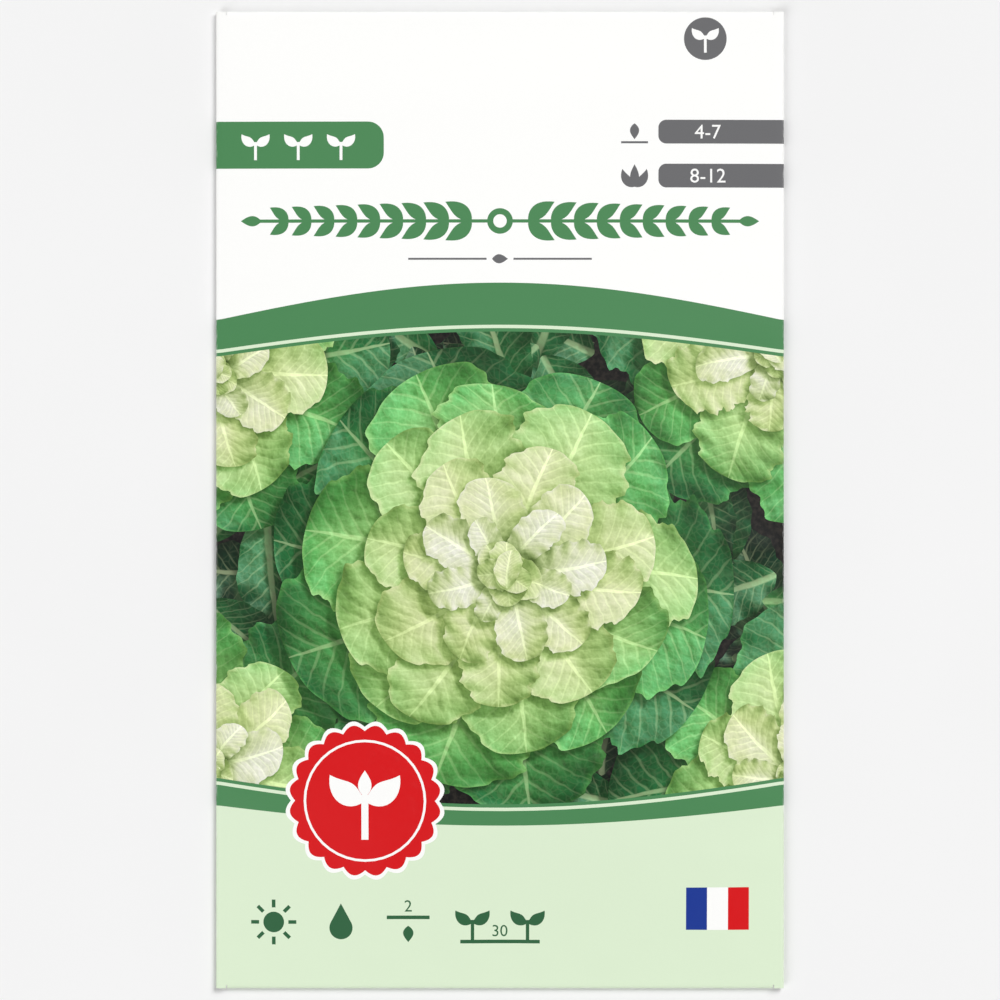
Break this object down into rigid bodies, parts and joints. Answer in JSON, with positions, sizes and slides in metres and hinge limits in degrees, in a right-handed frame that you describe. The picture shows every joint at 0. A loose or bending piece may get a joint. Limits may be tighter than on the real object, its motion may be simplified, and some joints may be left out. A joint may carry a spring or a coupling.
{
  "type": "seed packet",
  "caption": "Flat sealed paper seed packet: one folded sheet with a lapped back seam and glued end flaps, its printed front lifted by the loose seeds it holds.",
  "frame": {"origin": "under the middle of the packet, on the surface that it lies on", "axes": "+X across the packet, +Y to its top edge, +Z out of its printed front"},
  "size_m": [0.093, 0.16, 0.0049],
  "materials": {
    "printed_paper": "satin coated paper, printed on the outside",
    "dried_glue": "dried glue film",
    "seed_coat": "dry matt seed coat"
  },
  "bodies": {
    "root": {"packet_sheet": "printed_paper", "glue_back_seam": "dried_glue", "glue_bottom_flap": "dried_glue", "glue_top_flap": "dried_glue", "seed_fill": "seed_coat"}
  },
  "joints": []
}
